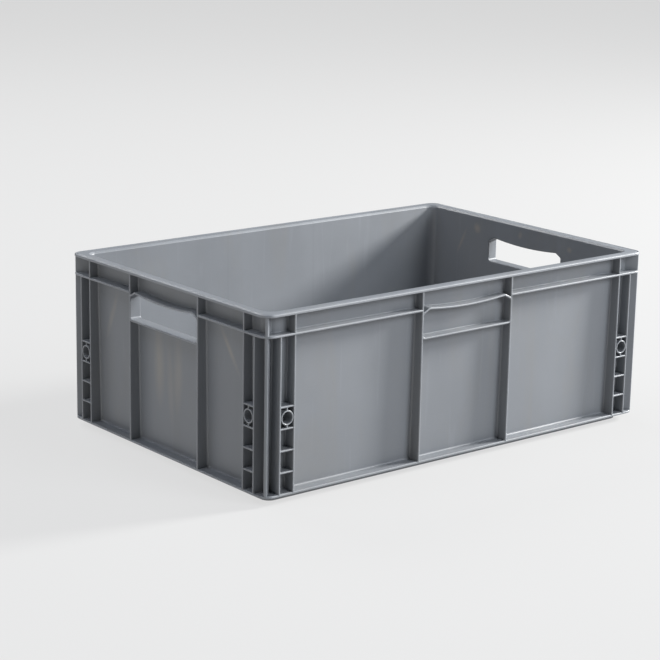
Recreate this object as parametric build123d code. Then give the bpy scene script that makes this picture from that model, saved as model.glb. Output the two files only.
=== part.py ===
from build123d import *
import os

# Stacking crate: one open-topped plastic moulding, 600 x 400 x 220 mm.
# X runs along the long side, Y across it and Z up; the origin is the middle of the face it stands on.
# The moulding is written as its members, which meet face to face and never overlap.

# Outside envelope
LENGTH = 600.0
WIDTH = 400.0
HEIGHT = 220.0
OUTER_CORNER_R = 14.0

# Wall: a tub with draft, so every wall leans in slightly towards the floor
WALL_THICKNESS = 2.8
WALL_INSET_TOP = 12.5
WALL_INSET_BOTTOM = 15.55
INNER_CORNER_R_TOP = 12.0

# Levels
FOOT_HEIGHT = 8.8
FLOOR_THICKNESS = 3.0
FLANGE_TOP = 11.6
RIM_THICKNESS = 3.3
LEDGE_BOTTOM = 193.3
LEDGE_TOP = 196.1

# How far each member stands back from the outside envelope
LEDGE_INSET = 0.3
RIB_INSET = 0.6
FLANGE_INSET = 0.8
RIM_OPENING_INSET = 13.0
FOOT_INSET = 15.8
FOOT_WIDTH = 3.5

# Ribs, measured from the middle of each wall
PANEL_RIB_X = 70.9
PANEL_RIB_Y = 69.6
PANEL_RIB_THICKNESS = 2.6
COLUMN_INNER_X = 258.2
COLUMN_OUTER_X = 278.0
COLUMN_INNER_Y = 157.8
COLUMN_OUTER_Y = 177.6
COLUMN_RIB_THICKNESS = 2.2
CORNER_RIB_THICKNESS = 4.0
RUNG_THICKNESS = 2.2
RUNG_LEVELS = [36.0, 61.5, 87.0, 112.5]

# Round boss in the top cell of each corner ladder
BOSS_OUTER_R = 8.7
BOSS_HOLE_R = 7.0
BOSS_DEPTH = 13.3
BOSS_LEVEL = (RUNG_LEVELS[2] + RUNG_LEVELS[3]) / 2
BOSS_WEB_THICKNESS = 1.8

# Hand grip: open through the end walls, closed by the wall on the long sides
GRIP_SILL = 161.7
GRIP_SHOULDER = 194.4
GRIP_MIDDLE = 191.0
GRIP_CHAMFER_WIDTH = 9.4
GRIP_CHAMFER_DROP = 5.0
GRIP_BAND = 2.6
GRIP_SHOULDER_R = 6.0
GRIP_SIDE_R = 3.0

# Edge radii
RIM_EDGE_R = 1.3
RIM_UNDER_R = 0.7
LEDGE_EDGE_R = 0.8
RIB_TIP_R = 0.8
FOOT_EDGE_R = 1.2
FINE_EDGE_R = 0.5
RUNG_SETBACK = 0.2

# Lattice under the floor
LATTICE_THICKNESS = 2.0
LATTICE_BOTTOM = 4.0
LATTICE_CELLS_X = 11
LATTICE_CELLS_Y = 7

HALF_L = LENGTH / 2
HALF_W = WIDTH / 2
RIM_BOTTOM = HEIGHT - RIM_THICKNESS
WALL_CORNER_CENTRE = WALL_INSET_TOP + WALL_THICKNESS + INNER_CORNER_R_TOP
SEAM_X = (COLUMN_INNER_X + COLUMN_OUTER_X) / 2
SEAM_Y = (COLUMN_INNER_Y + COLUMN_OUTER_Y) / 2
HALF_RUNG = RUNG_THICKNESS / 2


def outline(inset, centre_inset):
    radius = centre_inset - inset
    return RectangleRounded(LENGTH - 2 * inset, WIDTH - 2 * inset, radius)


def slab(inset, centre_inset, z0, z1):
    return Pos(0, 0, z0) * extrude(outline(inset, centre_inset), z1 - z0)


def tapered(inset_bottom, inset_top, z0, z1):
    lower = Pos(0, 0, z0) * outline(inset_bottom, WALL_CORNER_CENTRE)
    upper = Pos(0, 0, z1) * outline(inset_top, WALL_CORNER_CENTRE)
    return loft([lower, upper], ruled=True)


def block(x0, x1, y0, y1, z0, z1):
    centre = Pos((x0 + x1) / 2, (y0 + y1) / 2, (z0 + z1) / 2)
    return centre * Box(x1 - x0, y1 - y0, z1 - z0)


def tip_rib(thickness, z0, z1):
    # A rib that stands out towards -Y from the Y axis, with its tip at y = 0 and rounded.
    rib = block(-thickness / 2, thickness / 2, 0, 30, z0, z1)
    tips = rib.edges().filter_by(Axis.Z).group_by(Axis.Y)[0]
    return fillet(tips, min(RIB_TIP_R, thickness / 2 - 0.2))


def front_rib(x, thickness, z0, z1):
    return Pos(x, -HALF_W + RIB_INSET, 0) * tip_rib(thickness, z0, z1)


def left_rib(y, thickness, z0, z1):
    return Pos(-HALF_L + RIB_INSET, y, 0) * Rot(0, 0, -90) * tip_rib(thickness, z0, z1)


def corner_rib(z0, z1):
    reach = (OUTER_CORNER_R - RIB_INSET) * 0.5 ** 0.5
    tip_x = -HALF_L + OUTER_CORNER_R - reach
    tip_y = -HALF_W + OUTER_CORNER_R - reach
    return Pos(tip_x, tip_y, 0) * Rot(0, 0, -45) * tip_rib(CORNER_RIB_THICKNESS, z0, z1)


def grip_top_arc(half_width, rise):
    # The top edge sags in the middle, so that it fits the hand that lifts it.
    shoulder = half_width - GRIP_CHAMFER_WIDTH
    left = (-shoulder, GRIP_SHOULDER + rise)
    middle = (0, GRIP_MIDDLE + rise)
    right = (shoulder, GRIP_SHOULDER + rise)
    return ThreePointArc(left, middle, right)


def grip_opening(half_width):
    shoulder = half_width - GRIP_CHAMFER_WIDTH
    low = GRIP_SHOULDER - GRIP_CHAMFER_DROP
    left = (-shoulder, GRIP_SHOULDER)
    right = (shoulder, GRIP_SHOULDER)
    rest = Polyline(
        right,
        (half_width, low),
        (half_width, GRIP_SILL),
        (-half_width, GRIP_SILL),
        (-half_width, low),
        left,
    )
    face = make_face([grip_top_arc(half_width, 0), rest])
    face = fillet(face.vertices().group_by(Axis.Y)[-1], GRIP_SHOULDER_R)
    side_corners = face.vertices().filter_by_position(Axis.Y, low - 0.1, low + 0.1)
    return fillet(side_corners, GRIP_SIDE_R)


def grip_upper_pocket(half_width):
    # The space between the grip's arched top band and the rim.
    shoulder = half_width - GRIP_CHAMFER_WIDTH
    low = GRIP_SHOULDER - GRIP_CHAMFER_DROP + GRIP_BAND + 0.6
    rise = GRIP_BAND
    rest = Polyline(
        (shoulder, GRIP_SHOULDER + rise),
        (half_width, low),
        (half_width, RIM_BOTTOM),
        (-half_width, RIM_BOTTOM),
        (-half_width, low),
        (-shoulder, GRIP_SHOULDER + rise),
    )
    return make_face([grip_top_arc(half_width, rise), rest])


def upright(face, half_width, depth):
    # Stands a face drawn in (across, up) on the plane of the front wall and gives it depth inwards.
    return extrude(Plane.XZ * face, depth, both=True)


def grip_frame(half_width, reach):
    # Side ribs, arched top band and sill in one frame, centred on the Y = 0 plane.
    outer_half = half_width + PANEL_RIB_THICKNESS
    middle = (GRIP_SILL - GRIP_BAND + RIM_BOTTOM) / 2
    tall = RIM_BOTTOM - GRIP_SILL + GRIP_BAND
    frame = Pos(0, middle) * Rectangle(2 * outer_half, tall)
    frame = frame - grip_opening(half_width) - grip_upper_pocket(half_width)
    solid = extrude(Plane.XZ * frame, -reach)
    return fillet(solid.edges().group_by(Axis.Y)[0], FINE_EDGE_R)


def rung(half_length, level):
    bar = block(-half_length, half_length, RUNG_SETBACK, 30, level - HALF_RUNG, level + HALF_RUNG)
    return fillet(bar.edges().filter_by(Axis.X).group_by(Axis.Y)[0], FINE_EDGE_R)


def save(part, name):
    part.label = name
    export_step(part, "parts/" + name + ".step")


def save_four(part, before, after=""):
    # One member of the front-left quarter, and its three mirror images.
    save(part, before + "front_left" + after)
    save(mirror(part, Plane.YZ), before + "front_right" + after)
    save(mirror(part, Plane.XZ), before + "back_left" + after)
    save(mirror(mirror(part, Plane.YZ), Plane.XZ), before + "back_right" + after)


# Tub
inset_in_top = WALL_INSET_TOP + WALL_THICKNESS
inset_in_bottom = WALL_INSET_BOTTOM + WALL_THICKNESS
tub_outside = tapered(WALL_INSET_BOTTOM, WALL_INSET_TOP, FOOT_HEIGHT, RIM_BOTTOM)
tub_inside = tapered(inset_in_bottom, inset_in_top, FOOT_HEIGHT, RIM_BOTTOM)
tub = tub_outside - tub_inside

floor_block = block(-HALF_L, HALF_L, -HALF_W, HALF_W, FOOT_HEIGHT, FOOT_HEIGHT + FLOOR_THICKNESS)
save(tub_inside & floor_block, "floor_panel")

front_wall = tub & block(-SEAM_X, SEAM_X, -HALF_W, 0, 0, HEIGHT)
save(front_wall, "wall_front")
save(mirror(front_wall, Plane.XZ), "wall_back")

end_half = PANEL_RIB_Y - PANEL_RIB_THICKNESS / 2
hand_hole = Rot(0, 0, -90) * upright(grip_opening(end_half), end_half, 40)
hand_hole = Pos(-HALF_L, 0, 0) * hand_hole
left_wall = (tub & block(-HALF_L, 0, -SEAM_Y, SEAM_Y, 0, HEIGHT)) - hand_hole
save(left_wall, "wall_left")
save(mirror(left_wall, Plane.YZ), "wall_right")

corner_wall = tub & block(-HALF_L, -SEAM_X, -HALF_W, -SEAM_Y, 0, HEIGHT)
save_four(corner_wall, "corner_")

# Rim: a flat lip round the top, with a lead-in slope on its inner edge
rim = slab(0, OUTER_CORNER_R, RIM_BOTTOM, HEIGHT)
rim_top_edges = rim.edges().group_by(Axis.Z)[-1]
rim = fillet(rim_top_edges, RIM_EDGE_R)
rim_low_edges = rim.edges().group_by(Axis.Z)[0]
rim = fillet(rim_low_edges, RIM_UNDER_R)
lead_in = inset_in_top - RIM_OPENING_INSET
slope = tapered(inset_in_top, RIM_OPENING_INSET, HEIGHT - lead_in, HEIGHT)
throat = slab(inset_in_top, WALL_CORNER_CENTRE, RIM_BOTTOM - 1, HEIGHT - lead_in)
save(rim - slope - throat, "top_rim")

# Flange round the bottom of the walls
flange = slab(FLANGE_INSET, OUTER_CORNER_R, FOOT_HEIGHT, FLANGE_TOP)
flange = fillet(flange.edges().group_by(Axis.Z)[-1], LEDGE_EDGE_R)
save(flange - tub_outside, "base_flange")

# Foot that drops inside the rim of the crate below, and the lattice inside it
foot_outside = slab(FOOT_INSET, WALL_CORNER_CENTRE, 0, FOOT_HEIGHT)
foot_outside = fillet(foot_outside.edges().group_by(Axis.Z)[0], FOOT_EDGE_R)
foot_inside = slab(FOOT_INSET + FOOT_WIDTH, WALL_CORNER_CENTRE, -1, FOOT_HEIGHT)
foot = foot_outside - foot_inside
straight_l = HALF_L - WALL_CORNER_CENTRE
straight_w = HALF_W - WALL_CORNER_CENTRE
foot_bars = []
for side in (-1, 1):
    edges = sorted([side * straight_l, side * HALF_L])
    foot_bars.append(foot & block(edges[0], edges[1], -straight_w, straight_w, 0, FOOT_HEIGHT))
    edges = sorted([side * straight_w, side * HALF_W])
    foot_bars.append(foot & block(-straight_l, straight_l, edges[0], edges[1], 0, FOOT_HEIGHT))
foot_corner = foot & block(-HALF_L, -straight_l, -HALF_W, -straight_w, 0, FOOT_HEIGHT)
for piece in (foot_corner, mirror(foot_corner, Plane.YZ)):
    foot_bars.append(piece)
    foot_bars.append(mirror(piece, Plane.XZ))
save(Compound(children=foot_bars), "stacking_foot")

half_t = LATTICE_THICKNESS / 2
lattice_l = HALF_L - FOOT_INSET - FOOT_WIDTH
lattice_w = HALF_W - FOOT_INSET - FOOT_WIDTH
cell_x = 2 * lattice_l / LATTICE_CELLS_X
cell_y = 2 * lattice_w / LATTICE_CELLS_Y
bars = []
for i in range(1, LATTICE_CELLS_Y):
    y = (i - LATTICE_CELLS_Y / 2) * cell_y
    bars.append(block(-lattice_l, lattice_l, y - half_t, y + half_t, LATTICE_BOTTOM, FOOT_HEIGHT))
for j in range(LATTICE_CELLS_Y):
    low = -lattice_w if j == 0 else (j - LATTICE_CELLS_Y / 2) * cell_y + half_t
    high = lattice_w if j == LATTICE_CELLS_Y - 1 else (j + 1 - LATTICE_CELLS_Y / 2) * cell_y - half_t
    for i in range(1, LATTICE_CELLS_X):
        x = (i - LATTICE_CELLS_X / 2) * cell_x
        bars.append(block(x - half_t, x + half_t, low, high, LATTICE_BOTTOM, FOOT_HEIGHT))
save(Compound(children=bars), "underside_ribs")

# Collar: the ledge below the rim, from one grip round the corner to the next, and its short ribs
ledge = slab(LEDGE_INSET, OUTER_CORNER_R, LEDGE_BOTTOM, LEDGE_TOP)
ledge = fillet(ledge.edges().group_by(Axis.Z)[-1], LEDGE_EDGE_R)
grip_edge_x = PANEL_RIB_X + PANEL_RIB_THICKNESS / 2
grip_edge_y = PANEL_RIB_Y + PANEL_RIB_THICKNESS / 2
quarter = block(-HALF_L, 0, -HALF_W, 0, 0, HEIGHT)
quarter = quarter - block(-grip_edge_x, 0, -HALF_W, 0, 0, HEIGHT)
quarter = quarter - block(-HALF_L, 0, -grip_edge_y, 0, 0, HEIGHT)
corner_ledge = (ledge & quarter) - tub_outside
short_ribs = front_rib(-COLUMN_INNER_X, COLUMN_RIB_THICKNESS, LEDGE_TOP, RIM_BOTTOM)
short_ribs += left_rib(-COLUMN_INNER_Y, COLUMN_RIB_THICKNESS, LEDGE_TOP, RIM_BOTTOM)
short_ribs += corner_rib(LEDGE_TOP, RIM_BOTTOM)
save_four(corner_ledge + (short_ribs - tub_outside), "collar_")

# Grips: blind on the long sides, open through the ends
front_half = PANEL_RIB_X - PANEL_RIB_THICKNESS / 2
front_grip = Pos(0, -HALF_W + RIB_INSET, 0) * grip_frame(front_half, 30)
front_grip = front_grip - tub_outside
save(front_grip, "grip_front")
save(mirror(front_grip, Plane.XZ), "grip_back")
left_grip = Pos(-HALF_L + RIB_INSET, 0, 0) * Rot(0, 0, -90) * grip_frame(end_half, 30)
left_grip = left_grip - tub_outside
save(left_grip, "handle_left")
save(mirror(left_grip, Plane.YZ), "handle_right")

# Ribs that carry the grips' sides down to the flange
grip_foot = GRIP_SILL - GRIP_BAND
long_rib = front_rib(-PANEL_RIB_X, PANEL_RIB_THICKNESS, FLANGE_TOP, grip_foot) - tub_outside
save_four(long_rib, "rib_", "_long")
end_rib = left_rib(-PANEL_RIB_Y, PANEL_RIB_THICKNESS, FLANGE_TOP, grip_foot) - tub_outside
save_four(end_rib, "rib_", "_end")

# Corner ladders: two upright ribs joined by rungs, on each side of every corner
half_column = (COLUMN_OUTER_X - COLUMN_INNER_X) / 2
ladder = Pos(-half_column, 0, 0) * tip_rib(COLUMN_RIB_THICKNESS, FLANGE_TOP, LEDGE_BOTTOM)
ladder += Pos(half_column, 0, 0) * tip_rib(COLUMN_RIB_THICKNESS, FLANGE_TOP, LEDGE_BOTTOM)
for level in RUNG_LEVELS:
    ladder += rung(half_column, level)
front_place = Pos(-SEAM_X, -HALF_W + RIB_INSET, 0)
left_place = Pos(-HALF_L + RIB_INSET, -SEAM_Y, 0) * Rot(0, 0, -90)
save_four((front_place * ladder) - tub_outside, "column_", "_long")
save_four((left_place * ladder) - tub_outside, "column_", "_end")

# Bosses: a ring held between two rungs by short webs
web_half = BOSS_WEB_THICKNESS / 2
low_rung = RUNG_LEVELS[2] + HALF_RUNG
high_rung = RUNG_LEVELS[3] - HALF_RUNG
ring_axis = Pos(0, 15, BOSS_LEVEL) * Rot(90, 0, 0)
web = block(-web_half, web_half, RUNG_SETBACK, 30, low_rung, high_rung)
ring = ring_axis * Cylinder(BOSS_OUTER_R, 30)
socket_axis = Pos(0, 0, BOSS_LEVEL) * Rot(90, 0, 0)
ring = ring - socket_axis * Cylinder(BOSS_HOLE_R, 2 * BOSS_DEPTH)
ring = fillet(ring.edges().group_by(Axis.Y)[0], FINE_EDGE_R)
boss = ring + (web - ring_axis * Cylinder(BOSS_HOLE_R + 0.5, 40))
save_four((front_place * boss) - tub_outside, "boss_", "_long")
save_four((left_place * boss) - tub_outside, "boss_", "_end")

# Rib that bisects each corner
save_four(corner_rib(FLANGE_TOP, LEDGE_BOTTOM) - tub_outside, "corner_rib_")
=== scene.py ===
import math

import bmesh
import bpy
from mathutils import Matrix, Vector


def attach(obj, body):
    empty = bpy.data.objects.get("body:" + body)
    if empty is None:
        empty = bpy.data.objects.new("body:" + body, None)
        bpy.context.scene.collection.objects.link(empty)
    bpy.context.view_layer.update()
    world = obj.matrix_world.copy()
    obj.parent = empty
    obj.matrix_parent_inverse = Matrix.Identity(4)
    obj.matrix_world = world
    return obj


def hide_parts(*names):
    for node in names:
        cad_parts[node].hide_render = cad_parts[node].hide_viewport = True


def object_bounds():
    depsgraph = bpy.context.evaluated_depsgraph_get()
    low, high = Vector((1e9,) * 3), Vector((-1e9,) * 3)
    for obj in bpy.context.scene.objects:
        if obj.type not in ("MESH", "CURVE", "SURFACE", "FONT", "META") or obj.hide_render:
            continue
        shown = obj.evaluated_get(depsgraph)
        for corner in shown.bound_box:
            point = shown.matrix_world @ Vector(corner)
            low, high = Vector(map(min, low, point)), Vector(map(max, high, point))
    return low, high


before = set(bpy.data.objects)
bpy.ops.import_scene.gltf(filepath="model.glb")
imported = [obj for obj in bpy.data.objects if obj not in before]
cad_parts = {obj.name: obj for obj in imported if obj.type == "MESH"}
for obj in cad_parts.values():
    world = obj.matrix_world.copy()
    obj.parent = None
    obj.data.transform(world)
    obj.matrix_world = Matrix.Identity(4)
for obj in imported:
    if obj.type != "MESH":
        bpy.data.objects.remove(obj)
cad_low, cad_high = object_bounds()

# ---------------------------------------------------------------- sizes, in millimetres
MM = 0.001
HALF_L = round(cad_high[0] / MM, 1)
HALF_W = round(cad_high[1] / MM, 1)
HEIGHT = round(cad_high[2] / MM, 1)

# Levels
FLANGE_BOTTOM = 8.8
FLANGE_TOP = 11.6
FLOOR_TOP = 11.8
LEDGE_BOTTOM = 193.3
LEDGE_TOP = 196.1
RIM_BOTTOM = HEIGHT - 3.3
LEAD_IN_BOTTOM = HEIGHT - 2.3

# How far faces stand back from the outside of the crate
WALL_TOP_INSET = 12.5
WALL_BOTTOM_INSET = 15.55
WALL_THICKNESS = 2.8
LEDGE_INSET = 0.3
TIP_INSET = 0.6
FLANGE_INSET = 0.8
RIM_OPENING_INSET = 13.0
FOOT_INSET = 15.8
FOOT_WIDTH = 3.5
FLAT_FLOOR_INSET = 26.0

# Corner arcs are centred this far in from both sides: those of the wall, and those of rim, ledge and flange
WALL_CENTRE = 27.3
EDGE_CENTRE = 14.0

# Shallow groove along the flat top of the rim
GROOVE_INSET = 3.1
GROOVE_HALF_TOP = 1.0
GROOVE_HALF_FLOOR = 0.4
GROOVE_DEPTH = 0.45

# Ribs, by their distance from the middle of the long side and of the end
PANEL_RIB = {"front": 70.9, "left": 69.6}
PANEL_RIB_T = 2.6
COLUMN_INNER = {"front": 258.2, "left": 157.8}
COLUMN_OUTER = {"front": 278.0, "left": 177.6}
COLUMN_T = 2.2
CORNER_RIB_T = 4.0
RUNG_LEVELS = [36.0, 61.5, 87.0, 112.5]
RUNG_T = 2.2
RUNG_SETBACK = 0.2
RUNG_OVERLAP = 0.5
RIB_DRAFT = 0.15
CORNER_RIB_DRAFT = 0.1
RIB_FOOT = FLANGE_TOP - 0.8
RIB_END_IN_RIM = RIM_BOTTOM + 0.3
RIB_END_IN_LEDGE = LEDGE_BOTTOM + 1.2
RIB_START_IN_LEDGE = LEDGE_TOP - 1.2
RIB_ROW = 60.0

# Blends between a rib and the wall, and how deep their hidden edges go into the wall
PANEL_FLARE = 2.2
COLLAR_FLARE = 1.6
INNER_COLUMN_FLARES = (1.4, 1.8)
OUTER_COLUMN_FLARES = (1.2, 1.4)
CORNER_FLARE = 1.8
SKIN = 0.01
ROOT = 1.2
STRIP_ROOT = 0.4
STRIP_BACK = 0.3
BLEND_ROOT = 0.8
RUNG_ROOT = 1.0
RUNG_BLEND = 1.0
LEDGE_BLEND = 1.6
LEDGE_OVERLAP = 0.4

# Round boss in the top cell of each ladder
BOSS_Z = (RUNG_LEVELS[2] + RUNG_LEVELS[3]) / 2
BOSS_R = 8.7
BOSS_HOLE = 7.0
BOSS_FLOOR = 13.9
BOSS_BLEND = 1.0
BOSS_SINK = 0.3
BOSS_ROOT = 1.6
BOSS_TURNS = 44
WEB_T = 1.8
WEB_SETBACK = 0.35
WEB_OVERLAP = 0.6

# Grip opening: its sill, the top of its upright sides, its shoulders and the sagging middle of its top edge
SILL = 161.7
SIDE_TOP = 189.4
SHOULDER = 194.4
SAG = 191.0
SHOULDER_IN = 9.4
HOLE_HALF = PANEL_RIB["left"] - PANEL_RIB_T / 2
HOLE_MIDDLE = 175.0
HOLE_ROUND = 1.2
HOLE_ROUND_STEPS = 4
ARCH_STEPS = 14

# Raised band round the opening
BAND = 2.6
BAND_SHIFT = 0.05
BAND_BLEND_INSIDE = 1.7
BAND_BLEND_OUTSIDE = 1.5
BAND_ROOT_OPEN = 1.0
BAND_RIB_GAP = 3.0

# Lattice under the floor
LATTICE_CELLS = (11, 7)
LATTICE_HALF_T = 1.0
LATTICE_BOTTOM = 4.0
LATTICE_STEP = 0.1
LATTICE_TOP = FLANGE_BOTTOM + 0.4
LATTICE_OVERLAP = 0.5

# Rounded edges: radius and number of arc steps
FLOOR_CORNER = (4.0, 5)
LEAD_IN_CORNER = (1.2, 3)
RIM_OPENING_EDGE = (0.7, 3)
GROOVE_EDGE = (0.5, 2)
GROOVE_CORNER = (0.4, 2)
RIM_EDGE = (1.3, 4)
RIM_UNDER_EDGE = (0.7, 3)
RIM_CORNER = (2.0, 4)
FLANGE_CORNER = (2.5, 5)
FLANGE_EDGE = (1.0, 4)
FLANGE_UNDER_EDGE = (0.6, 3)
FOOT_CORNER = (1.0, 3)
FOOT_EDGE = (1.2, 4)
FOOT_INNER_CORNER = (1.2, 3)
SILL_CORNER = (3.0, 4)
SIDE_CORNER = (3.0, 4)
SHOULDER_CORNER = (3.6, 4)
BAND_EDGE = (1.1, 5)
BAND_CORNER = (1.2, 4)
LEDGE_CORNER = (1.2, 4)
LEDGE_TOP_EDGE = (1.25, 5)
LEDGE_UNDER_EDGE = (1.0, 4)
LEDGE_UNDER_CORNER = (1.4, 4)
CORNER_RIB_EDGE = (1.5, 5)
RUNG_CORNER = (0.9, 3)
RUNG_UNDER_EDGE = (0.9, 4)
RUNG_TOP_EDGE = (1.0, 4)
BOSS_CORNER = (0.9, 3)
BOSS_EDGE = (0.75, 4)
WEB_EDGE = (0.6, 3)
LATTICE_EDGE = (0.6, 3)
RIB_EDGE_SHARE = 0.9
RIB_STEPS = 5


def wall(z):
    """Inset of the wall's outer face at height z."""
    draft = (WALL_BOTTOM_INSET - WALL_TOP_INSET) / (RIM_BOTTOM - FLANGE_BOTTOM)
    return WALL_TOP_INSET + (RIM_BOTTOM - z) * draft


def wall_at(side, u, z):
    """The same at a place along a side, following the rounded corner."""
    half = HALF_L if side == "front" else HALF_W
    over = abs(u) - (half - WALL_CENTRE)
    if over <= 0:
        return wall(z)
    radius = WALL_CENTRE - wall(z)
    return WALL_CENTRE - math.sqrt(max(radius * radius - over * over, 1.0))


# ---------------------------------------------------------------- mesh helpers
SHARP_ANGLE = math.radians(48)
FLAT_FACE_WEIGHT = 60
WELD_DISTANCE = 1e-7


class Builder:
    """Collects points and faces in millimetres, and makes one mesh object of them."""

    def __init__(self):
        self.verts = []
        self.faces = []

    def ring(self, points):
        start = len(self.verts)
        self.verts.extend(points)
        return list(range(start, start + len(points)))

    def bridge(self, a, b, closed=True):
        n = len(a)
        for i in range(n if closed else n - 1):
            j = (i + 1) % n
            self.faces.append((a[i], a[j], b[j], b[i]))

    def loft(self, rings, closed_path=False):
        """A closed tube through rings of points, with flat ends unless the path closes."""
        made = [self.ring(r) for r in rings]
        for a, b in zip(made, made[1:]):
            self.bridge(a, b)
        if closed_path:
            self.bridge(made[-1], made[0])
        else:
            self.faces.append(tuple(reversed(made[0])))
            self.faces.append(tuple(made[-1]))

    def make(self, name, nodes, mirror=(1, 1)):
        """The mesh object, mirrored to its own side of the crate, that replaces the CAD nodes."""
        mx, my = mirror
        points = [(x * mx * MM, y * my * MM, z * MM) for x, y, z in self.verts]
        mesh = bpy.data.meshes.new(name)
        mesh.from_pydata(points, [], self.faces)
        bm = bmesh.new()
        bm.from_mesh(mesh)
        bmesh.ops.remove_doubles(bm, verts=bm.verts, dist=WELD_DISTANCE)
        bmesh.ops.recalc_face_normals(bm, faces=bm.faces)
        for face in bm.faces:
            face.smooth = True
        bm.to_mesh(mesh)
        bm.free()
        mesh.set_sharp_from_angle(angle=SHARP_ANGLE)
        mesh.materials.append(plastic)
        obj = bpy.data.objects.new(name, mesh)
        bpy.context.scene.collection.objects.link(obj)
        even = obj.modifiers.new("even_normals", "WEIGHTED_NORMAL")
        even.keep_sharp = True
        even.weight = FLAT_FACE_WEIGHT
        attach(obj, "root")
        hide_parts(*nodes)


def rounded(points, closed=True):
    """A polygon with arcs at its corners.

    A point is (x, y), or (x, y, radius, steps) with anything else that its arc's points carry along.
    """
    out = []
    n = len(points)
    for i, point in enumerate(points):
        at = Vector(point[:2])
        radius, steps = point[2:4] if len(point) > 3 else (0.0, 1)
        extra = tuple(point[4:])
        if radius <= 0 or (not closed and i in (0, n - 1)):
            out.append((at.x, at.y) + extra)
            continue
        before = (Vector(points[i - 1][:2]) - at).normalized()
        after = (Vector(points[(i + 1) % n][:2]) - at).normalized()
        half = math.acos(max(-1, min(1, before.dot(after)))) / 2
        if half > math.pi / 2 - 1e-4:
            out.append((at.x, at.y) + extra)
            continue
        reach = radius / math.tan(half)
        centre = at + (before + after).normalized() * (radius / math.sin(half))
        a = at + before * reach - centre
        b = at + after * reach - centre
        turn = math.atan2(a.x * b.y - a.y * b.x, a.dot(b))
        for k in range(steps + 1):
            c, s = math.cos(turn * k / steps), math.sin(turn * k / steps)
            out.append((centre.x + a.x * c - a.y * s, centre.y + a.x * s + a.y * c) + extra)
    return out


def outward(loop):
    """Mitred outward directions of a counter-clockwise loop."""
    out = []
    n = len(loop)
    for i in range(n):
        a, b, c = Vector(loop[i - 1]), Vector(loop[i]), Vector(loop[(i + 1) % n])
        d1, d2 = (b - a).normalized(), (c - b).normalized()
        n1, n2 = Vector((d1.y, -d1.x)), Vector((d2.y, -d2.x))
        m = (n1 + n2) / (1 + n1.dot(n2))
        out.append((m.x, m.y))
    return out


def place(side, u, s, z):
    """A point by its place along a side, its inset from that side's outer face, and its height."""
    if side == "front":
        return (u, s - HALF_W, z)
    return (s - HALF_L, u, z)


# ---------------------------------------------------------------- stations round the crate
def corner(sign_x, sign_y, start, steps=14):
    """Stations round one corner: the corner's signs and the angle of each."""
    return [("corner", sign_x, sign_y, start + 90 * k / steps) for k in range(steps + 1)]


def station_point(station, s, z, centre):
    """A point at a station, by its inset, its height and the inset of the corner arc's centre."""
    if station[0] == "front":
        return (station[1], s - HALF_W, z)
    if station[0] == "back":
        return (station[1], HALF_W - s, z)
    if station[0] == "right":
        return (HALF_L - s, station[1], z)
    if station[0] == "left":
        return (s - HALF_L, station[1], z)
    _, sign_x, sign_y, angle = station
    radius = centre - s
    x = sign_x * (HALF_L - centre) + radius * math.cos(math.radians(angle))
    y = sign_y * (HALF_W - centre) + radius * math.sin(math.radians(angle))
    return (x, y, z)


# ---------------------------------------------------------------- grip opening
def opening(half):
    """Outline of a grip opening, counter-clockwise from the left end of the sill, as (u, z)."""
    top = half - SHOULDER_IN
    points = [
        (-half, SILL, *SILL_CORNER),
        (half, SILL, *SILL_CORNER),
        (half, SIDE_TOP, *SIDE_CORNER),
        (top, SHOULDER, *SHOULDER_CORNER),
    ]
    for k in range(1, ARCH_STEPS):
        u = top * (1 - 2 * k / ARCH_STEPS)
        points.append((u, SAG + (SHOULDER - SAG) * (u / top) ** 2))
    points.append((-top, SHOULDER, *SHOULDER_CORNER))
    points.append((-half, SIDE_TOP, *SIDE_CORNER))
    return rounded(points)


def hole_edge(lower):
    """The lower or upper edge of a hand hole in order along the wall, as (u, z, outward direction)."""
    loop = opening(HOLE_HALF)
    edge = []
    for (u, z), direction in zip(loop, outward(loop)):
        if (z < HOLE_MIDDLE) == lower:
            edge.append((round(u, 4), z, direction))
    return sorted(edge)


HOLE_EDGES = {"lower": hole_edge(True), "upper": hole_edge(False)}


def on_edge(tag, u):
    """Height and outward direction of a hand hole's edge at a place along the wall."""
    edge = HOLE_EDGES[tag]
    for (a, za, ma), (b, zb, mb) in zip(edge, edge[1:]):
        if a <= u <= b and b > a:
            t = (u - a) / (b - a)
            return za + (zb - za) * t, (ma[0] + (mb[0] - ma[0]) * t, ma[1] + (mb[1] - ma[1]) * t)
    return edge[0][1:] if u < edge[0][0] else edge[-1][1:]


# ---------------------------------------------------------------- tub with rim, flange and foot
LONG_U = [-235.0] + [80.0 * k for k in range(-2, 3)] + [235.0]
BESIDE_HOLE_U = [73.0, 92.0, 120.0, 150.0]
HOLE_U = sorted(
    {u for u, _, _ in HOLE_EDGES["lower"]}
    | {u for u, _, _ in HOLE_EDGES["upper"] if abs(u) < HOLE_HALF - SILL_CORNER[0]}
)
END_U = [-u for u in reversed(BESIDE_HOLE_U)] + HOLE_U + BESIDE_HOLE_U
STATIONS = (
    [("front", u) for u in LONG_U]
    + corner(1, -1, -90)
    + [("right", u) for u in END_U]
    + corner(1, 1, 0)
    + [("back", u) for u in reversed(LONG_U)]
    + corner(-1, 1, 90)
    + [("left", u) for u in reversed(END_U)]
    + corner(-1, -1, 180)
)
WALL_LEVELS = [60.0, 110.0, 150.0, SILL, SIDE_TOP, 204.0]
HOLE_TAGS = {SILL: "lower", SIDE_TOP: "upper"}


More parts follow.
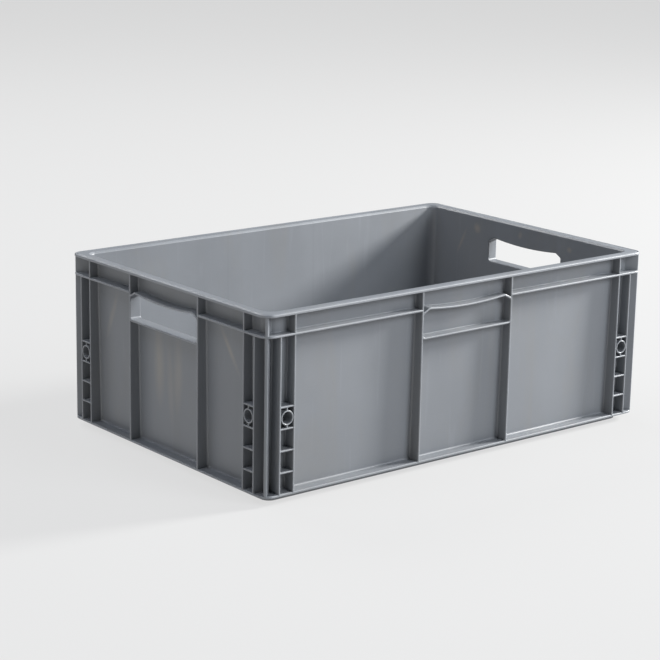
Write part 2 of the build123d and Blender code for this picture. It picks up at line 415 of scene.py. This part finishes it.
def tub_section():
    """The tub's section from the middle of the floor over the rim to the underside."""
    w = (WALL_CENTRE, "")
    e = (EDGE_CENTRE, "")
    foot_back = FOOT_INSET + FOOT_WIDTH
    inside = [(wall(z) + WALL_THICKNESS, z, 0, 1, WALL_CENTRE, HOLE_TAGS.get(z, "")) for z in WALL_LEVELS]
    outside = [(wall(z), z, 0, 1, WALL_CENTRE, HOLE_TAGS.get(z, "")) for z in reversed(WALL_LEVELS)]
    floor_inside = [
        (FLAT_FLOOR_INSET, FLOOR_TOP, 0, 1, *w),
        (wall(FLOOR_TOP) + WALL_THICKNESS, FLOOR_TOP, *FLOOR_CORNER, *w),
    ]
    rim = [
        (WALL_TOP_INSET + WALL_THICKNESS, LEAD_IN_BOTTOM, *LEAD_IN_CORNER, *w),
        (RIM_OPENING_INSET, HEIGHT, *RIM_OPENING_EDGE, *w),
        (GROOVE_INSET + GROOVE_HALF_TOP, HEIGHT, *GROOVE_EDGE, *e),
        (GROOVE_INSET + GROOVE_HALF_FLOOR, HEIGHT - GROOVE_DEPTH, *GROOVE_CORNER, *e),
        (GROOVE_INSET - GROOVE_HALF_FLOOR, HEIGHT - GROOVE_DEPTH, *GROOVE_CORNER, *e),
        (GROOVE_INSET - GROOVE_HALF_TOP, HEIGHT, *GROOVE_EDGE, *e),
        (0.0, HEIGHT, *RIM_EDGE, *e),
        (0.0, RIM_BOTTOM, *RIM_UNDER_EDGE, *e),
        (wall(RIM_BOTTOM), RIM_BOTTOM, *RIM_CORNER, *w),
    ]
    flange_and_foot = [
        (wall(FLANGE_TOP), FLANGE_TOP, *FLANGE_CORNER, *w),
        (FLANGE_INSET, FLANGE_TOP, *FLANGE_EDGE, *e),
        (FLANGE_INSET, FLANGE_BOTTOM, *FLANGE_UNDER_EDGE, *e),
        (FOOT_INSET, FLANGE_BOTTOM, *FOOT_CORNER, *w),
        (FOOT_INSET, 0.0, *FOOT_EDGE, *w),
        (foot_back, 0.0, *FOOT_EDGE, *w),
        (foot_back, FLANGE_BOTTOM, *FOOT_INNER_CORNER, *w),
        (FLAT_FLOOR_INSET, FLANGE_BOTTOM, 0, 1, *w),
    ]
    return rounded(floor_inside + inside + rim + outside + flange_and_foot, closed=False)


def in_hole(station):
    return station[0] in ("left", "right") and abs(station[1]) <= HOLE_HALF + 1e-6


def tub_point(station, s, z, centre, tag, inner):
    """A point of the tub's wall; the tagged rows follow the edges of the hand holes."""
    if not tag or not in_hole(station):
        return station_point(station, s, z, centre)
    side, u = station
    z, direction = on_edge(tag, u)
    if inner:
        u += direction[0] * HOLE_ROUND
        z += direction[1] * HOLE_ROUND
    return station_point((side, u), wall(z) + (WALL_THICKNESS if inner else 0.0), z, centre)


def hole_face(b, rows, side):
    """The face through the wall round a hand hole, rounded where it meets the inside."""
    loops = {}
    for ids, tag, inner in rows:
        if tag:
            found = [(st[1], i, tag) for st, i in zip(STATIONS, ids) if st[0] == side and in_hole(st)]
            loops[tag, inner] = sorted(found)
    inside = loops["lower", True] + loops["upper", True][::-1]
    outside = loops["lower", False] + loops["upper", False][::-1]
    rings = [[i for _, i, _ in inside]]
    for k in range(1, HOLE_ROUND_STEPS + 1):
        angle = math.pi / 2 * k / HOLE_ROUND_STEPS
        spread = HOLE_ROUND * (1 - math.sin(angle))
        deep = HOLE_ROUND * (1 - math.cos(angle))
        points = []
        for u, _, tag in inside:
            z, direction = on_edge(tag, u)
            z += direction[1] * spread
            station = (side, u + direction[0] * spread)
            points.append(station_point(station, wall(z) + WALL_THICKNESS - deep, z, WALL_CENTRE))
        rings.append(b.ring(points))
    rings.append([i for _, i, _ in outside])
    for a, c in zip(rings, rings[1:]):
        b.bridge(a, c)


def tub():
    """Floor, walls, rim, flange and foot as one skin, with the two hand holes."""
    b = Builder()
    rows = []
    for s, z, centre, tag in tub_section():
        inner = s > wall(z) + WALL_THICKNESS / 2
        rows.append((b.ring([tub_point(st, s, z, centre, tag, inner) for st in STATIONS]), tag, inner))
    n = len(STATIONS)
    for (lower, lower_tag, _), (upper, upper_tag, _) in zip(rows, rows[1:]):
        beside_hole = {lower_tag, upper_tag} == {"lower", "upper"}
        for j in range(n):
            k = (j + 1) % n
            if beside_hole and in_hole(STATIONS[j]) and in_hole(STATIONS[k]):
                continue
            b.faces.append((lower[j], lower[k], upper[k], upper[j]))
    for side in ("left", "right"):
        hole_face(b, rows, side)
    b.faces.append(tuple(rows[0][0]))
    b.faces.append(tuple(reversed(rows[-1][0])))
    walls = [f"wall_{side}" for side in ("front", "back", "left", "right")]
    corners = [f"corner_{y}_{x}" for y in ("front", "back") for x in ("left", "right")]
    b.make("crate_tub", ["floor_panel", *walls, "top_rim", "base_flange", "stacking_foot", *corners])


# ---------------------------------------------------------------- ribs
def rib_face(side, at, sign, half, flare, z):
    """One half of a rib's section, from its tip to the wall."""
    face = at + sign * half
    foot = face + sign * RIB_DRAFT
    points = [(face, TIP_INSET, RIB_EDGE_SHARE * half, RIB_STEPS)]
    if not flare:
        return points + [(foot, wall_at(side, face, z) + ROOT)]
    edge = face + sign * flare
    points.append((foot, wall_at(side, face, z) + SKIN, flare, RIB_STEPS))
    points.append((edge, wall_at(side, edge, z) + SKIN))
    points.append((edge, wall_at(side, edge, z) + ROOT))
    return points


def rib(b, side, at, thick, z0, z1, flares):
    """An upright rib standing on a wall; a flare blends each of its faces into the wall."""
    rings = []
    steps = max(1, int((z1 - z0) / RIB_ROW))
    for k in range(steps + 1):
        z = z0 + (z1 - z0) * k / steps
        section = rib_face(side, at, -1, thick / 2, flares[0], z)[::-1]
        section += rib_face(side, at, 1, thick / 2, flares[1], z)
        rings.append([place(side, u, s, z) for u, s in rounded(section)])
    b.loft(rings)


def flare_strip(b, side, at, sign, size, z0, z1):
    """A concave strip in the angle between a rib's face and the wall."""
    rings = []
    for z in (z0, z1):
        w = wall_at(side, at, z)
        face = at - sign * SKIN
        back = at - sign * STRIP_BACK
        edge = at + sign * size
        section = [
            (back, w + STRIP_ROOT),
            (edge, w + STRIP_ROOT),
            (edge, w + SKIN),
            (face, w + SKIN, size, RIB_STEPS),
            (face, w - size),
            (back, w - size),
        ]
        rings.append([place(side, u, s, z) for u, s in rounded(section)])
    b.loft(rings)


def band(b, side, half, blind):
    """The raised band round a grip opening; a blind grip's band also blends into the wall inside it."""
    loop = opening(half)
    near = -BAND_SHIFT
    far = BAND - BAND_SHIFT
    outer = BAND + BAND_BLEND_OUTSIDE
    tip = TIP_INSET + BAND_SHIFT
    rings = []
    for (u, z), (along, up) in zip(loop, outward(loop)):
        face = wall(z) + SKIN
        root = wall(z) + BLEND_ROOT
        if blind:
            section = [(-BAND_BLEND_INSIDE, root), (-BAND_BLEND_INSIDE, face), (near, face, *BAND_CORNER)]
        else:
            section = [(near, wall(z) + BAND_ROOT_OPEN)]
        section += [
            (near, tip, *BAND_EDGE),
            (far, tip, *BAND_EDGE),
            (far, face, *BAND_CORNER),
            (outer, face),
            (outer, root),
        ]
        rings.append([place(side, u + along * r, s, z + up * r) for r, s in rounded(section)])
    b.loft(rings, closed_path=True)


def grip(side, name, nodes, mirror, blind):
    """A grip's band and the two ribs beside it."""
    b = Builder()
    at = PANEL_RIB[side]
    half = at - PANEL_RIB_T / 2
    band(b, side, half, blind)
    for sign in (-1, 1):
        flares = (PANEL_FLARE, 0) if sign < 0 else (0, PANEL_FLARE)
        rib(b, side, sign * at, PANEL_RIB_T, RIB_FOOT, RIB_END_IN_RIM, flares)
        flare_strip(b, side, sign * half, -sign, PANEL_FLARE, RIB_FOOT, SILL - BAND)
        flare_strip(b, side, sign * half, -sign, COLLAR_FLARE, SIDE_TOP + BAND_RIB_GAP, RIB_END_IN_RIM)
    b.make(name, nodes, mirror)


def rung(b, side, start, end, level):
    """A level bar between the two ribs of a ladder."""
    bottom = level - RUNG_T / 2
    top = level + RUNG_T / 2
    rings = []
    for u in (start, (start + end) / 2, end):
        face = wall_at(side, u, level) + SKIN
        root = wall_at(side, u, level) + RUNG_ROOT
        tip = TIP_INSET + RUNG_SETBACK
        section = [
            (root, bottom - RUNG_BLEND),
            (face, bottom - RUNG_BLEND),
            (face, bottom, *RUNG_CORNER),
            (tip, bottom, *RUNG_UNDER_EDGE),
            (tip, top, *RUNG_TOP_EDGE),
            (face, top, *RUNG_CORNER),
            (face, top + RUNG_BLEND),
            (root, top + RUNG_BLEND),
        ]
        rings.append([place(side, u, s, z) for s, z in rounded(section)])
    b.loft(rings)


def ladder(side, name, node, mirror):
    """The two ribs beside a corner and the rungs between them."""
    b = Builder()
    inner = -COLUMN_INNER[side]
    outer = -COLUMN_OUTER[side]
    rib(b, side, inner, COLUMN_T, RIB_FOOT, RIB_END_IN_LEDGE, INNER_COLUMN_FLARES)
    rib(b, side, outer, COLUMN_T, RIB_FOOT, RIB_END_IN_LEDGE, OUTER_COLUMN_FLARES)
    for level in RUNG_LEVELS:
        rung(b, side, outer + RUNG_OVERLAP, inner - RUNG_OVERLAP, level)
    b.make(name, [node], mirror)


def boss(side, name, node, mirror):
    """The round blind socket in the top cell of a ladder, with the two webs that hold it."""
    b = Builder()
    at = -(COLUMN_INNER[side] + COLUMN_OUTER[side]) / 2
    w = wall(BOSS_Z)
    section = rounded(
        [
            (BOSS_R + BOSS_BLEND, w + BOSS_ROOT),
            (BOSS_R + BOSS_BLEND, w + BOSS_SINK),
            (BOSS_R, w + BOSS_SINK, *BOSS_CORNER),
            (BOSS_R, TIP_INSET, *BOSS_EDGE),
            (BOSS_HOLE, TIP_INSET, *BOSS_EDGE),
            (BOSS_HOLE, BOSS_FLOOR, *BOSS_CORNER),
            (0.0, BOSS_FLOOR),
        ],
        closed=False,
    )
    made = []
    for k in range(BOSS_TURNS):
        angle = 2 * math.pi * k / BOSS_TURNS
        c, s = math.cos(angle), math.sin(angle)
        made.append(b.ring([place(side, at + r * c, deep, BOSS_Z + r * s) for r, deep in section]))
    for k in range(BOSS_TURNS):
        b.bridge(made[k], made[(k + 1) % BOSS_TURNS], closed=False)
    b.faces.append(tuple(ring[0] for ring in made))

    half = WEB_T / 2
    web = rounded(
        [
            (at - half, w + RUNG_ROOT),
            (at - half, TIP_INSET + WEB_SETBACK, *WEB_EDGE),
            (at + half, TIP_INSET + WEB_SETBACK, *WEB_EDGE),
            (at + half, w + RUNG_ROOT),
        ]
    )
    below = (RUNG_LEVELS[2] + WEB_OVERLAP, BOSS_Z - BOSS_HOLE - WEB_OVERLAP)
    above = (BOSS_Z + BOSS_HOLE + WEB_OVERLAP, RUNG_LEVELS[3] - WEB_OVERLAP)
    for levels in (below, above):
        b.loft([[place(side, u, s, z) for u, s in web] for z in levels])
    b.make(name, [node], mirror)


def diagonal(u, reach, z):
    """A point by its place across the corner's diagonal and its distance from the corner's centre."""
    c = math.sqrt(0.5)
    x = -(HALF_L - WALL_CENTRE) - reach * c + u * c
    y = -(HALF_W - WALL_CENTRE) - reach * c - u * c
    return (x, y, z)


def corner_rib(b, z0, z1):
    """The rib on a corner's diagonal."""
    tip = math.sqrt(2) * (WALL_CENTRE - EDGE_CENTRE) + EDGE_CENTRE - TIP_INSET
    half = CORNER_RIB_T / 2
    edge = half + CORNER_FLARE
    foot = half + CORNER_RIB_DRAFT
    rings = []
    for z in (z0, z1):
        radius = WALL_CENTRE - wall(z)
        wall_by_edge = math.sqrt(radius * radius - edge * edge)
        wall_by_face = math.sqrt(radius * radius - half * half)
        section = [
            (-edge, wall_by_edge - ROOT),
            (-edge, wall_by_edge - SKIN),
            (-foot, wall_by_face - SKIN, CORNER_FLARE, RIB_STEPS),
            (-half, tip, *CORNER_RIB_EDGE),
            (half, tip, *CORNER_RIB_EDGE),
            (foot, wall_by_face - SKIN, CORNER_FLARE, RIB_STEPS),
            (edge, wall_by_edge - SKIN),
            (edge, wall_by_edge - ROOT),
        ]
        rings.append([diagonal(u, reach, z) for u, reach in rounded(section)])
    b.loft(rings)


def collar(name, node, mirror):
    """The ledge below the rim from a grip round the corner to a hand hole, with the short ribs above it."""
    b = Builder()
    w = WALL_CENTRE
    above = LEDGE_TOP + LEDGE_BLEND
    below = LEDGE_BOTTOM - LEDGE_BLEND
    section = rounded(
        [
            (wall(above) + BLEND_ROOT, above, 0, 1, w),
            (wall(above) + SKIN, above, 0, 1, w),
            (wall(LEDGE_TOP) + SKIN, LEDGE_TOP, *LEDGE_CORNER, w),
            (LEDGE_INSET, LEDGE_TOP, *LEDGE_TOP_EDGE, EDGE_CENTRE),
            (LEDGE_INSET, LEDGE_BOTTOM, *LEDGE_UNDER_EDGE, EDGE_CENTRE),
            (wall(LEDGE_BOTTOM) + SKIN, LEDGE_BOTTOM, *LEDGE_UNDER_CORNER, w),
            (wall(below) + SKIN, below, 0, 1, w),
            (wall(below) + BLEND_ROOT, below, 0, 1, w),
        ]
    )
    path = [("left", u) for u in (-PANEL_RIB["left"] - LEDGE_OVERLAP, -110.0, -150.0)]
    path += corner(-1, -1, 180, 16)
    path += [("front", u) for u in (-235.0, -160.0, -PANEL_RIB["front"] - LEDGE_OVERLAP)]
    b.loft([[station_point(station, s, z, centre) for s, z, centre in section] for station in path])
    for side in ("front", "left"):
        at = -COLUMN_INNER[side]
        rib(b, side, at, COLUMN_T, RIB_START_IN_LEDGE, RIB_END_IN_RIM, INNER_COLUMN_FLARES)
    corner_rib(b, RIB_START_IN_LEDGE, RIB_END_IN_RIM)
    b.make(name, [node], mirror)


def lattice_bar(at, bottom):
    """Section of a bar under the floor, as (place across the bar, height)."""
    left = at - LATTICE_HALF_T
    right = at + LATTICE_HALF_T
    return rounded(
        [
            (left, LATTICE_TOP),
            (left, bottom, *LATTICE_EDGE),
            (right, bottom, *LATTICE_EDGE),
            (right, LATTICE_TOP),
        ]
    )


def underside():
    """The lattice under the floor, inside the foot."""
    b = Builder()
    cells_x, cells_y = LATTICE_CELLS
    half_x = HALF_L - FOOT_INSET - FOOT_WIDTH
    half_y = HALF_W - FOOT_INSET - FOOT_WIDTH
    reach_x = half_x + LATTICE_OVERLAP
    reach_y = half_y + LATTICE_OVERLAP
    for i in range(1, cells_x):
        bar = lattice_bar((i - cells_x / 2) * 2 * half_x / cells_x, LATTICE_BOTTOM + LATTICE_STEP)
        b.loft([[(x, y, z) for x, z in bar] for y in (-reach_y, reach_y)])
    for i in range(1, cells_y):
        bar = lattice_bar((i - cells_y / 2) * 2 * half_y / cells_y, LATTICE_BOTTOM)
        b.loft([[(x, y, z) for y, z in bar] for x in (-reach_x, reach_x)])
    b.make("underside_lattice", ["underside_ribs"])


# ---------------------------------------------------------------- plastic
BASE = (0.160, 0.169, 0.183)
FILM = (0.175, 0.168, 0.155)
# Lighter colour of the outermost edges: partly wear, partly a painted highlight of rib tips and rims
# catching the light
EDGE_WEAR_AND_HIGHLIGHT = (0.235, 0.245, 0.262)
MARK = (0.290, 0.262, 0.215)
MARK_DEPTH = 2.2

# Where, in metres, sink lines fade from the middle of a rib and stop at the inside of the long walls,
# and where the lighter outermost edges (partly wear, partly a painted highlight) begin and are at their
# full
SINK_FADE = (0.0006, 0.0022)
INSIDE_LONG_WALLS = (0.1860, 0.1862)
LIGHTER_EDGE_SPAN = (-0.0016, -0.0006)
LIGHTER_EDGE_STRENGTH = 0.5

# Brownish patches on the outside of the left end (-1) and the inside of the right end (1), in millimetres:
# end, y, z, half width, half length, lean in degrees, strength
MARKS = [
    (-1, -115.0, 163.5, 4.6, 40.0, -35.0, 0.58),
    (-1, 126.4, 154.3, 5.5, 40.0, 23.4, 0.42),
    (-1, 26.0, 112.0, 13.0, 60.0, 0.0, 0.48),
    (-1, -13.0, 112.0, 11.0, 60.0, 2.0, 0.42),
    (-1, 4.0, 95.0, 8.0, 64.0, -3.0, 0.28),
    (1, 92.0, 202.6, 8.0, 9.0, -40.0, 0.62),
    (1, 8.0, 207.0, 5.0, 7.0, 15.0, 0.60),
    (1, -84.0, 203.1, 6.0, 5.0, 0.0, 0.55),
    (1, 122.0, 180.0, 3.0, 26.0, 25.0, 0.45),
]


class Shading:
    """Short calls for the nodes of a material, with patterns that follow the crate's own coordinates."""

    def __init__(self, name):
        self.material = bpy.data.materials.new(name)
        self.material.use_nodes = True
        self.nodes = self.material.node_tree.nodes
        self.link = self.material.node_tree.links.new
        self.nodes.clear()
        self.coords = self.nodes.new("ShaderNodeTexCoord").outputs["Object"]

    def noise(self, scale, detail, rough, stretch=(1, 1, 1), distortion=0.0):
        at = self.nodes.new("ShaderNodeMapping")
        at.inputs["Scale"].default_value = stretch
        self.link(self.coords, at.inputs["Vector"])
        pattern = self.nodes.new("ShaderNodeTexNoise")
        pattern.inputs["Scale"].default_value = scale
        pattern.inputs["Detail"].default_value = detail
        pattern.inputs["Roughness"].default_value = rough
        pattern.inputs["Distortion"].default_value = distortion
        self.link(at.outputs["Vector"], pattern.inputs["Vector"])
        return pattern.outputs["Fac"]

    def spread(self, value, span, result):
        """The value's span mapped onto the result's, and held at both ends."""
        node = self.nodes.new("ShaderNodeMapRange")
        self.link(value, node.inputs["Value"])
        node.inputs["From Min"].default_value = span[0]
        node.inputs["From Max"].default_value = span[1]
        node.inputs["To Min"].default_value = result[0]
        node.inputs["To Max"].default_value = result[1]
        return node.outputs["Result"]

    def calc(self, operation, a, b=None):
        node = self.nodes.new("ShaderNodeMath")
        node.operation = operation
        self.link(a, node.inputs[0])
        if isinstance(b, float):
            node.inputs[1].default_value = b
        elif b is not None:
            self.link(b, node.inputs[1])
        return node.outputs[0]

    def times(self, a, b):
        return self.calc("MULTIPLY", a, b)

    def tinted(self, colour, tone):
        """A colour made lighter or darker by a tone round 1."""
        grey = self.nodes.new("ShaderNodeCombineColor")
        for channel in ("Red", "Green", "Blue"):
            self.link(tone, grey.inputs[channel])
        node = self.nodes.new("ShaderNodeMix")
        node.data_type = "RGBA"
        node.blend_type = "MULTIPLY"
        node.inputs["Factor"].default_value = 1.0
        node.inputs["A"].default_value = (*colour, 1.0)
        self.link(grey.outputs["Color"], node.inputs["B"])
        return node.outputs["Result"]

    def blend(self, base, over, factor):
        node = self.nodes.new("ShaderNodeMix")
        node.data_type = "RGBA"
        self.link(factor, node.inputs["Factor"])
        self.link(base, node.inputs["A"])
        node.inputs["B"].default_value = (*over, 1.0)
        return node.outputs["Result"]

    def near(self, centre, reach, lean):
        """1 round a place on the crate, falling to 0 at the given reach along each axis, in millimetres."""
        at = self.nodes.new("ShaderNodeMapping")
        at.vector_type = "TEXTURE"
        at.inputs["Location"].default_value = [value * MM for value in centre]
        at.inputs["Scale"].default_value = [value * MM for value in reach]
        at.inputs["Rotation"].default_value = (math.radians(lean), 0, 0)
        self.link(self.coords, at.inputs["Vector"])
        far = self.nodes.new("ShaderNodeVectorMath")
        far.operation = "LENGTH"
        self.link(at.outputs["Vector"], far.inputs[0])
        return self.spread(far.outputs["Value"], (0.2, 1.0), (1.0, 0.0))

    def bump(self, height, strength, distance, under=None):
        node = self.nodes.new("ShaderNodeBump")
        node.inputs["Strength"].default_value = strength
        node.inputs["Distance"].default_value = distance
        self.link(height, node.inputs["Height"])
        if under is not None:
            self.link(under, node.inputs["Normal"])
        return node.outputs["Normal"]


def polypropylene():
    """Satin grey plastic with soft streaks, sink lines behind the ribs, outermost edges lighter by wear and
    a painted highlight, and brownish patches.
    """
    s = Shading("grey_polypropylene")
    cloud = s.noise(scale=7.0, detail=4.0, rough=0.6)
    streak = s.noise(scale=9.0, detail=3.0, rough=0.55, stretch=(1.0, 1.0, 0.16), distortion=0.6)
    speck = s.noise(scale=900.0, detail=2.0, rough=0.5)
    film = s.noise(scale=13.0, detail=6.0, rough=0.7, stretch=(1.0, 1.0, 0.22), distortion=1.5)
    scratch = s.noise(scale=60.0, detail=2.0, rough=0.5, stretch=(1.0, 1.0, 0.06), distortion=2.0)
    tone = s.times(s.spread(cloud, (0.3, 0.7), (0.955, 1.045)), s.spread(streak, (0.3, 0.7), (0.95, 1.05)))
    tone = s.times(tone, s.spread(speck, (0.35, 0.65), (0.985, 1.015)))
    tone = s.times(tone, s.spread(scratch, (0.62, 0.72), (1.0, 1.06)))

    axes = s.nodes.new("ShaderNodeSeparateXYZ")
    s.link(s.coords, axes.inputs["Vector"])
    along = s.calc("ABSOLUTE", axes.outputs["X"])
    across = s.calc("ABSOLUTE", axes.outputs["Y"])
    from_rib = s.calc("ABSOLUTE", s.calc("SUBTRACT", along, PANEL_RIB["front"] * MM))
    inside = s.spread(across, INSIDE_LONG_WALLS, (1.0, 0.0))
    sink = s.times(s.spread(from_rib, SINK_FADE, (1.0, 0.0)), inside)
    tone = s.times(tone, s.spread(sink, (0.0, 1.0), (1.0, 0.965)))
    shade = s.blend(s.tinted(BASE, tone), FILM, s.spread(film, (0.50, 0.74), (0.0, 0.30)))

    patchy = s.spread(film, (0.30, 0.65), (0.35, 1.0))
    for end, y, z, half_width, half_length, lean, strength in MARKS:
        x = wall(z) - HALF_L if end < 0 else HALF_L - wall(z) - WALL_THICKNESS
        mark = s.near((x, y, z), (MARK_DEPTH, half_width, half_length), lean)
        shade = s.blend(shade, MARK, s.calc("MULTIPLY", s.times(mark, patchy), strength))

    # Outermost edges painted lighter: partly wear, partly a painted highlight where rib tips and rims catch
    # the light
    past_end = s.calc("ADD", along, -HALF_L * MM)
    past_side = s.calc("ADD", across, -HALF_W * MM)
    outermost = s.spread(s.calc("MAXIMUM", past_end, past_side), LIGHTER_EDGE_SPAN, (0.0, 1.0))
    wear_and_highlight = s.times(outermost, s.spread(streak, (0.25, 0.7), (0.55, 1.0)))
    shade = s.blend(shade, EDGE_WEAR_AND_HIGHLIGHT, s.calc("MULTIPLY", wear_and_highlight, LIGHTER_EDGE_STRENGTH))

    wave = s.bump(s.noise(scale=11.0, detail=2.0, rough=0.5), strength=0.12, distance=0.004)
    grain = s.bump(s.noise(scale=1400.0, detail=3.0, rough=0.6), strength=0.10, distance=0.0003, under=wave)
    shader = s.nodes.new("ShaderNodeBsdfPrincipled")
    shader.inputs["IOR"].default_value = 1.49
    shader.inputs["Specular IOR Level"].default_value = 0.5
    s.link(shade, shader.inputs["Base Color"])
    s.link(s.spread(cloud, (0.3, 0.7), (0.34, 0.44)), shader.inputs["Roughness"])
    s.link(grain, shader.inputs["Normal"])
    out = s.nodes.new("ShaderNodeOutputMaterial")
    s.link(shader.outputs["BSDF"], out.inputs["Surface"])
    return s.material


plastic = polypropylene()

# ---------------------------------------------------------------- the crate
# Every sub-part is drawn at the front or the left, and mirrored to the other side
MIRROR_X = {"left": 1, "right": -1}
MIRROR_Y = {"front": 1, "back": -1}

tub()
for yname, my in MIRROR_Y.items():
    nodes = [f"grip_{yname}", f"rib_{yname}_left_long", f"rib_{yname}_right_long"]
    grip("front", f"grip_frame_{yname}", nodes, (1, my), blind=True)
for xname, mx in MIRROR_X.items():
    nodes = [f"handle_{xname}", f"rib_front_{xname}_end", f"rib_back_{xname}_end"]
    grip("left", f"handle_frame_{xname}", nodes, (mx, 1), blind=False)
for yname, my in MIRROR_Y.items():
    for xname, mx in MIRROR_X.items():
        tag = f"{yname}_{xname}"
        collar(f"ledge_{tag}", f"collar_{tag}", (mx, my))
        upright = Builder()
        corner_rib(upright, RIB_FOOT, RIB_END_IN_LEDGE)
        upright.make(f"diagonal_rib_{tag}", [f"corner_rib_{tag}"], (mx, my))
        for side, end in (("front", "long"), ("left", "end")):
            ladder(side, f"ladder_{tag}_{end}", f"column_{tag}_{end}", (mx, my))
            boss(side, f"socket_{tag}_{end}", f"boss_{tag}_{end}", (mx, my))
underside()


# ---------------------------------------------------------------- studio, in metres
FLOOR_REACH = 30.0
CRATE_MIDDLE = Vector((0.0, 0.0, HEIGHT * MM / 2))
LIGHT_DISTANCE = 4.0

# Camera, fitted to the photo: place, angles in radians, and focal length in millimetres
VIEW_FROM = (-1.593369, -1.899609, 0.752909)
VIEW_YAW = 0.683105
VIEW_PITCH = 0.250492
VIEW_ROLL = 0.0189745
VIEW_FOCAL_LENGTH = 110.577


def studio_white():
    """Floor material: a faint surface for the shadow, with its own even white light."""
    mat = bpy.data.materials.new("studio_white")
    mat.use_nodes = True
    shader = mat.node_tree.nodes["Principled BSDF"]
    shader.inputs["Base Color"].default_value = (0.08, 0.08, 0.08, 1.0)
    shader.inputs["Roughness"].default_value = 0.9
    shader.inputs["Specular IOR Level"].default_value = 0.0
    shader.inputs["Emission Color"].default_value = (1.0, 1.0, 1.0, 1.0)
    shader.inputs["Emission Strength"].default_value = 0.66
    return mat


def studio_floor():
    r = FLOOR_REACH
    mesh = bpy.data.meshes.new("studio_floor")
    mesh.from_pydata([(-r, -r, 0), (r, -r, 0), (r, r, 0), (-r, r, 0)], [], [(0, 1, 2, 3)])
    mesh.materials.append(studio_white())
    floor = bpy.data.objects.new("studio_floor", mesh)
    bpy.context.scene.collection.objects.link(floor)


def studio_world():
    """Dim bluish light all round; the camera itself sees a white backdrop behind the floor."""
    world = bpy.data.worlds.new("studio")
    bpy.context.scene.world = world
    world.use_nodes = True
    nodes, link = world.node_tree.nodes, world.node_tree.links.new
    ambient = nodes["Background"]
    ambient.inputs["Color"].default_value = (0.70, 0.92, 1.20, 1.0)
    ambient.inputs["Strength"].default_value = 0.07
    backdrop = nodes.new("ShaderNodeBackground")
    backdrop.inputs["Color"].default_value = (1.0, 1.0, 1.0, 1.0)
    backdrop.inputs["Strength"].default_value = 0.78
    seen = nodes.new("ShaderNodeLightPath")
    either = nodes.new("ShaderNodeMixShader")
    link(seen.outputs["Is Camera Ray"], either.inputs["Fac"])
    link(ambient.outputs["Background"], either.inputs[1])
    link(backdrop.outputs["Background"], either.inputs[2])
    link(either.outputs["Shader"], nodes["World Output"].inputs["Surface"])


def area(name, toward, power, tint=(1.0, 1.0, 1.0), size=2.0):
    """A round soft light in a given direction from the crate, turned to it."""
    light = bpy.data.lights.new(name, "AREA")
    light.color = tint
    light.shape = "DISK"
    light.size = size
    light.energy = power
    direction = Vector(toward).normalized()
    obj = bpy.data.objects.new(name, light)
    obj.location = CRATE_MIDDLE + direction * LIGHT_DISTANCE
    obj.rotation_mode = "QUATERNION"
    obj.rotation_quaternion = (-direction).to_track_quat("-Z", "Y")
    bpy.context.scene.collection.objects.link(obj)


def camera():
    """The photo's view: looking along +Y, then turned clockwise, tipped down and rolled."""
    yaw, pitch, roll = VIEW_YAW, VIEW_PITCH, VIEW_ROLL
    lens = bpy.data.cameras.new("view")
    lens.sensor_width = 36.0
    lens.lens = VIEW_FOCAL_LENGTH
    lens.clip_end = 100.0
    view = bpy.data.objects.new("view", lens)
    bpy.context.scene.collection.objects.link(view)
    forward = Vector((math.sin(yaw) * math.cos(pitch), math.cos(yaw) * math.cos(pitch), -math.sin(pitch)))
    right = Vector((math.cos(yaw), -math.sin(yaw), 0.0))
    up = right.cross(forward)
    rolled_right = math.cos(roll) * right + math.sin(roll) * up
    rolled_up = -math.sin(roll) * right + math.cos(roll) * up
    turn = Matrix((rolled_right, rolled_up, -forward)).transposed()
    view.matrix_world = Matrix.Translation(VIEW_FROM) @ turn.to_4x4()
    bpy.context.scene.camera = view


studio_floor()
studio_world()
area("key", (1.0, -0.28, 0.46), power=500, tint=(1.0, 0.995, 0.975), size=0.9)
area("left_fill", (-1.0, -0.15, 0.35), power=29, tint=(1.04, 1.0, 0.93))
area("front_fill", (0.35, -1.0, 0.6), power=126, tint=(0.965, 1.0, 1.04))
area("top_fill", (-0.55, 0.15, 1.0), power=48, tint=(0.92, 0.97, 1.08))
area("back_fill", (0.0, 1.0, 1.0), power=80)
camera()
bpy.context.scene.view_settings.view_transform = "Standard"
